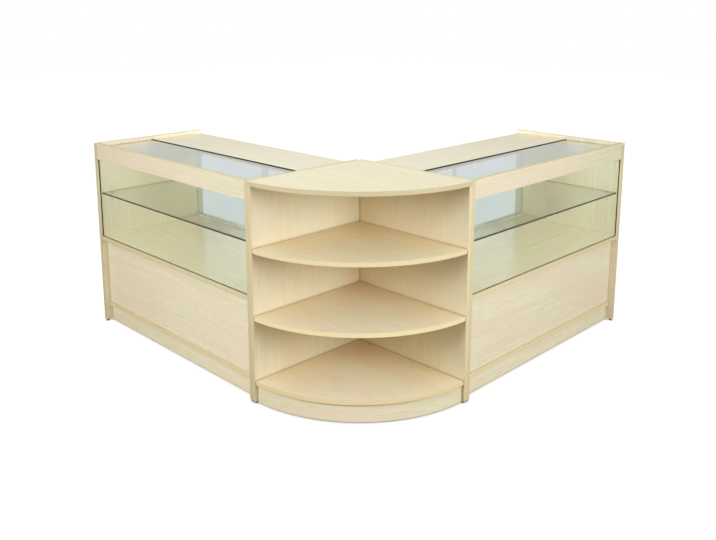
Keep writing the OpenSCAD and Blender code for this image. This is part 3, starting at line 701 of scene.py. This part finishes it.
class COUNTER_OT_upright_boards(bpy.types.Operator):
    """Gives the gables and the corner unit's panels maple with the grain upright"""

    bl_idname = "counter.upright_boards"
    bl_label = "Gables and panels"

    def execute(self, context):
        settings = context.scene.counter_laminate
        rough = settings.panel_roughness
        for side, (along, depth) in COUNTER_AXES.items():
            looks = BOARD_LOOKS[f"{side}_gables"]
            material = flat_laminate(f"Maple upright {side}", Z, depth, along, rough, settings, **looks)
            dress([f"{side}_outer_gable", f"{side}_inner_gable"], material)
        for side, (across, through) in CORNER_AXES.items():
            node = f"corner_{side}_panel"
            looks = BOARD_LOOKS[node]
            dress([node], flat_laminate(f"Maple corner {side}", Z, across, through, rough, settings, **looks))
        return {"FINISHED"}


class COUNTER_OT_front_boards(bpy.types.Operator):
    """Gives the rails, lower panels and straight plinths maple with the grain along the counter"""

    bl_idname = "counter.front_boards"
    bl_label = "Rails, panels and plinths"

    def execute(self, context):
        settings = context.scene.counter_laminate
        rough = settings.panel_roughness
        for side, (along, depth) in COUNTER_AXES.items():
            for part in ("front_rail", "lower_panel", "front_plinth", "back_plinth"):
                node = f"{side}_{part}"
                name = f"Maple {part.replace('_', ' ')} {side}"
                dress([node], flat_laminate(name, along, Z, depth, rough, settings, **BOARD_LOOKS[node]))
        return {"FINISHED"}


class COUNTER_OT_level_boards(bpy.types.Operator):
    """Gives the worktops, decks, base boards and storage shelves maple with the grain along the counter"""

    bl_idname = "counter.level_boards"
    bl_label = "Worktops, decks and shelves"

    def execute(self, context):
        settings = context.scene.counter_laminate
        # The ledge under the top glass takes the dark strip tone in place of the chipboard's
        dark_fill = {"core": tuple(context.scene.counter_glass.dark_strip_tone)}
        sheets = (
            ("level", ("base_board", "storage_shelf"), settings.level_roughness, BOARD_LOOKS["low_boards"]),
            ("deck", ("display_deck",), settings.deck_roughness, BOARD_LOOKS["display_deck"]),
            ("worktop", ("worktop",), settings.level_roughness, BOARD_LOOKS["worktop"] | dark_fill),
        )
        for side, (along, depth) in COUNTER_AXES.items():
            for sheet, parts, rough, looks in sheets:
                material = flat_laminate(f"Maple {sheet} {side}", along, depth, Z, rough, settings, **looks)
                dress([f"{side}_{part}" for part in parts], material)
        return {"FINISHED"}


class COUNTER_OT_corner_boards(bpy.types.Operator):
    """Gives the corner unit's top, shelves, base and plinth maple, with edge bands that follow the arc"""

    bl_idname = "counter.corner_boards"
    bl_label = "Corner top, shelves and plinth"

    def execute(self, context):
        settings = context.scene.counter_laminate
        low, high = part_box("corner_top")
        centre = (low.x, high.y, 0.0)
        radius = high.x - low.x
        for node in ("corner_top", "corner_upper_shelf", "corner_lower_shelf", "corner_base_board", "corner_plinth"):
            name = f"Maple {node.replace('_', ' ')}"
            banded = 0.0 if node == "corner_plinth" else 1.0
            dress([node], round_laminate(name, centre, radius, banded, settings, **BOARD_LOOKS[node]))
        return {"FINISHED"}


class COUNTER_OT_glass_panes(bpy.types.Operator):
    """Makes the top glass, front glass and glass shelf of each counter with ground edges"""

    bl_idname = "counter.glass_panes"
    bl_label = "Glass panes"

    def execute(self, context):
        settings = context.scene.counter_glass
        level = glass("Level glass", settings.level_tint, settings.level_index, settings)
        upright = glass("Upright glass", settings.pane_tint, settings.pane_index, settings)
        edge = ground_edge("Ground edge", settings.edge_tone)
        for side, (_, depth) in COUNTER_AXES.items():
            for part, material in (("top_glass", level), ("front_glass", upright), ("glass_shelf", level)):
                node = f"{side}_{part}"
                low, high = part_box(node)
                mesh = pane_mesh(low, high, settings.arris)
                if part == "glass_shelf":
                    # Painted: the front margin of the shelf's faces takes the dark edge's material, as the edge shows
                    # through the glass
                    front, outward = (low, -depth) if depth.y else (high, depth)
                    darken_beyond(mesh, front - outward * settings.dark_edge_margin, outward)
                pane = piece(f"{node}_pane", mesh, material, edge)
                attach(pane, "root")
                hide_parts(node)
        return {"FINISHED"}


class COUNTER_OT_dark_strips(bpy.types.Operator):
    """Makes the dark strips round each front glass, which paint the shade in its grooves, and the dark strip behind
    each top glass
    """

    bl_idname = "counter.glass_beads"
    bl_label = "Beads and seals"

    def execute(self, context):
        settings = context.scene.counter_glass
        material = mottled("Dark bead", settings.dark_strip_tone, low=0.6, high=0.75, grain=0.0009, shine=0.1)
        for side, (along, depth) in COUNTER_AXES.items():
            # The customer's side lies towards -Y on the left counter, and towards +X on the right one
            outward = -1.0 if depth.y else 1.0
            low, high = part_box(f"{side}_front_glass")
            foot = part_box(f"{side}_display_deck")[1].z
            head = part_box(f"{side}_front_rail")[0].z
            near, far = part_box(f"{side}_worktop")
            ends = (near.dot(along), far.dot(along))
            # The strip of painted shade lies on the outer face of the glass
            face = (low if depth.y else high).dot(depth)
            mesh = bmesh.new()
            foot_top = foot + settings.foot_shade_strip
            strip(mesh, along, depth, ends, (face, face + outward * settings.foot_shade_strip), (foot, foot_top))
            side_reach = (face, face + outward * settings.side_shade_strip)
            for end, inward in zip(ends, (1.0, -1.0)):
                run = (end, end + inward * settings.side_shade_strip)
                strip(mesh, along, depth, run, side_reach, (foot_top, head))
            self.add(f"{side}_front_glass_bead", mesh, material)

            # The dark strip fills the open joint from the top glass back to the worktop's step
            low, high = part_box(f"{side}_top_glass")
            rear = (high if depth.y else low).dot(depth) + outward * settings.strip_lap
            reach = (rear - outward * settings.joint_strip, rear)
            mesh = bmesh.new()
            strip(mesh, along, depth, ends, reach, (high.z - settings.strip_depth, high.z + settings.strip_crown))
            self.add(f"{side}_joint_seal", mesh, material)
        return {"FINISHED"}

    def add(self, name, mesh, material):
        made = piece(name, mesh, material)
        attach(made, "root")


class COUNTER_OT_sliding_doors(bpy.types.Operator):
    """Makes the sliding glass doors with ground edges and ground finger pulls"""

    bl_idname = "counter.sliding_doors"
    bl_label = "Sliding doors"

    def execute(self, context):
        settings = context.scene.counter_glass
        finishes = (
            glass("Door glass", settings.door_tint, settings.pane_index, settings),
            ground_edge("Polished edge", settings.door_edge_tone),
            frosted("Ground pull", settings),
        )
        for side, (along, depth) in COUNTER_AXES.items():
            low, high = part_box(f"{side}_worktop")
            middle = (low + high).dot(along) / 2
            for part in ("back_door", "front_door"):
                self.door(f"{side}_{part}", finishes, along, depth, middle, settings)
        return {"FINISHED"}

    def door(self, node, finishes, along, depth, middle, settings):
        clear, edge, matt = finishes
        low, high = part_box(node)
        made = piece(f"{node}_pane", pane_mesh(low, high, settings.arris), clear, edge)
        # The outer end of the door is the one further from the middle of its counter
        ends = (low.dot(along), high.dot(along))
        outer = max(ends, key=lambda end: abs(end - middle))
        inward = 1.0 if outer < middle else -1.0
        # The left counter's back looks along +Y and the right counter's along -X
        back = (high if depth.y else low).dot(depth)
        outward = 1.0 if depth.y else -1.0
        # The pull is the part of an upright cylinder that its width and depth cut off
        radius = (settings.pull_width**2 / 4 + settings.pull_depth**2) / (2 * settings.pull_depth)
        axis = along * (outer + inward * settings.pull_inset)
        axis += depth * (back + outward * (radius - settings.pull_depth))
        cutter = bmesh.new()
        bmesh.ops.create_cone(
            cutter, cap_ends=True, segments=192, radius1=radius, radius2=radius, depth=settings.pull_height
        )
        for vertex in cutter.verts:
            vertex.co += axis + Z * (low.z + high.z) / 2
        cut_away(made, piece("pull_cutter", cutter, matt))
        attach(made, node)
        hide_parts(node)


class COUNTER_OT_door_tracks(bpy.types.Operator):
    """Gives the door tracks extruded ivory plastic"""

    bl_idname = "counter.door_tracks"
    bl_label = "Door tracks"

    def execute(self, context):
        settings = context.scene.counter_fittings
        for side, stretch in (("left", (EXTRUDED, 1.0, 1.0)), ("right", (1.0, EXTRUDED, 1.0))):
            material = mottled(
                f"Ivory track {side}", settings.track_tone, low=0.38, high=0.5, grain=0.0008, shade=0.95,
                stretch=stretch,
            )
            dress([f"{side}_upper_track", f"{side}_lower_track"], material)
        return {"FINISHED"}


class COUNTER_OT_shelf_pegs(bpy.types.Operator):
    """Gives the shelf pegs bright nickel"""

    bl_idname = "counter.shelf_pegs"
    bl_label = "Shelf pegs"

    def execute(self, context):
        settings = context.scene.counter_fittings
        material = mottled("Nickel pegs", settings.peg_tone, low=0.18, high=0.32, grain=0.0005, metallic=1.0)
        dress([f"{side}_{part}_pegs" for side in COUNTERS for part in ("glass_shelf", "storage_shelf")], material)
        return {"FINISHED"}


class COUNTER_OT_board_fittings(bpy.types.Operator):
    """Gives the cams and their bolts cast zinc, and the dowels raw beech"""

    bl_idname = "counter.board_fittings"
    bl_label = "Cams and dowels"

    def execute(self, context):
        settings = context.scene.counter_fittings
        cams = mottled("Zinc cams", settings.cam_tone, low=0.32, high=0.5, grain=0.0007, metallic=1.0, shade=0.8)
        dress([f"{unit}_cam_fittings" for unit in UNITS], cams)
        dowels = mottled("Beech dowels", settings.dowel_tone, low=0.6, high=0.75, grain=0.0009, shade=0.8)
        dress([f"{unit}_dowels" for unit in UNITS], dowels)
        return {"FINISHED"}


class COUNTER_OT_glides(bpy.types.Operator):
    """Gives the glides brown moulded plastic"""

    bl_idname = "counter.glides"
    bl_label = "Glides"

    def execute(self, context):
        settings = context.scene.counter_fittings
        material = mottled("Brown glides", settings.glide_tone, low=0.45, high=0.6, grain=0.0005)
        dress([f"{unit}_glides" for unit in UNITS], material)
        return {"FINISHED"}


class COUNTER_OT_stage(bpy.types.Operator):
    """Sets the floor, the even light all round, five soft lamps and the camera"""

    bl_idname = "counter.stage"
    bl_label = "Stage"

    def execute(self, context):
        scene = context.scene
        settings = scene.counter_stage
        scene.view_settings.view_transform = "Standard"
        self.floor(settings)
        self.surroundings(scene, settings)
        for name, power_setting, place, size in MAIN_LAMPS:
            watts = getattr(settings, power_setting)
            self.lamp(name, settings, watts, place, Z * settings.lamp_aim, size)
        # Two low panels on the staff side light the cases through their doors, and pass under the worktops
        for name, place, (low, high) in (
            ("Left case lamp", (0.0, 0.8, 0.75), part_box("left_outer_gable")),
            ("Right case lamp", (-0.8, 0.0, 0.75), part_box("right_outer_gable")),
        ):
            target = Vector(((low.x + high.x) / 2, (low.y + high.y) / 2, settings.case_aim))
            panel = self.lamp(name, settings, settings.case_power, place, target, CASE_LAMP_SIZE)
            panel.visible_camera = panel.visible_transmission = panel.visible_glossy = False
        self.camera(scene, settings)
        return {"FINISHED"}

    def seen(self, g, even, mirrored, direct):
        """One colour for the even light, one for what shines in gloss, and one where the background itself is seen."""
        light = g.node("ShaderNodeLightPath")
        straight = g.math("MAXIMUM", light.outputs["Is Camera Ray"], light.outputs["Is Transmission Ray"])
        colour = g.mix_colour(light.outputs["Is Glossy Ray"], opaque(even), opaque(mirrored))
        return g.mix_colour(straight, colour, opaque(scaled(WHITE, direct)))

    def floor(self, settings):
        half = settings.floor_size / 2
        mesh = bmesh.new()
        bmesh.ops.create_grid(mesh, x_segments=8, y_segments=8, size=half)
        material, g = new_material("Pale floor")
        diffuse = g.node("ShaderNodeBsdfDiffuse", Color=opaque(settings.floor_tone))
        open_sky = g.node("ShaderNodeAmbientOcclusion", {"samples": 8}, Distance=settings.contact_reach)
        free = g.math("POWER", open_sky.outputs["AO"], settings.contact_power)
        shown = self.seen(g, BLACK, scaled(WHITE, settings.floor_mirrored), settings.floor_glow)
        glow = g.node("ShaderNodeEmission", Color=shown, Strength=free)
        both = g.node("ShaderNodeAddShader", in_0=diffuse.outputs[0], in_1=glow.outputs[0])
        g.node("ShaderNodeOutputMaterial", Surface=both.outputs[0])
        piece("floor", mesh, material)

    def surroundings(self, scene, settings):
        world = bpy.data.worlds.new("Studio")
        world.use_nodes = True
        g = Graph(world.node_tree)
        colour = self.seen(g, settings.ambient, settings.mirrored_tone, 1.0)
        background = g.node("ShaderNodeBackground", Color=colour, Strength=1.0)
        g.node("ShaderNodeOutputWorld", Surface=background.outputs[0])
        scene.world = world

    def lamp(self, name, settings, watts, place, target, size):
        """A rectangular lamp at this place, pointing at the target."""
        data = bpy.data.lights.new(name, "AREA")
        data.shape = "RECTANGLE"
        data.size, data.size_y = size
        data.energy = watts
        data.color = settings.lamp_tone
        lamp = bpy.data.objects.new(name, data)
        lamp.location = place
        lamp.rotation_euler = (target - lamp.location).to_track_quat("-Z", "Y").to_euler()
        bpy.context.scene.collection.objects.link(lamp)
        return lamp

    def camera(self, scene, settings):
        data = bpy.data.cameras.new("Camera")
        data.lens = settings.camera_lens
        data.sensor_width = 36.0
        data.shift_y = settings.camera_shift
        camera = bpy.data.objects.new("Camera", data)
        camera.location = settings.camera_place
        camera.rotation_euler = (math.radians(90.0) - settings.camera_pitch, 0.0, settings.camera_turn)
        scene.collection.objects.link(camera)
        scene.camera = camera


OPERATORS = (
    COUNTER_OT_upright_boards,
    COUNTER_OT_front_boards,
    COUNTER_OT_level_boards,
    COUNTER_OT_corner_boards,
    COUNTER_OT_glass_panes,
    COUNTER_OT_dark_strips,
    COUNTER_OT_sliding_doors,
    COUNTER_OT_door_tracks,
    COUNTER_OT_shelf_pegs,
    COUNTER_OT_board_fittings,
    COUNTER_OT_glides,
    COUNTER_OT_stage,
)


class COUNTER_PT_panel(bpy.types.Panel):
    """Lists the pieces of the counter"""

    bl_idname = "COUNTER_PT_panel"
    bl_label = "Corner shop counter"
    bl_space_type = "VIEW_3D"
    bl_region_type = "UI"
    bl_category = "Counter"

    def draw(self, context):
        for operator in OPERATORS:
            self.layout.operator(operator.bl_idname)


SETTINGS = {
    "counter_laminate": CounterLaminateSettings,
    "counter_glass": CounterGlassSettings,
    "counter_fittings": CounterFittingSettings,
    "counter_stage": CounterStageSettings,
}


def register():
    for group in SETTINGS.values():
        bpy.utils.register_class(group)
    for name, group in SETTINGS.items():
        setattr(bpy.types.Scene, name, PointerProperty(type=group))
    for operator in OPERATORS:
        bpy.utils.register_class(operator)
    bpy.utils.register_class(COUNTER_PT_panel)


def unregister():
    bpy.utils.unregister_class(COUNTER_PT_panel)
    for operator in reversed(OPERATORS):
        bpy.utils.unregister_class(operator)
    for name, group in SETTINGS.items():
        delattr(bpy.types.Scene, name)
        bpy.utils.unregister_class(group)


def main():
    """Makes every piece and the stage."""
    register()
    for operator in OPERATORS:
        family, name = operator.bl_idname.split(".")
        getattr(getattr(bpy.ops, family), name)()


if __name__ == "__main__":
    main()
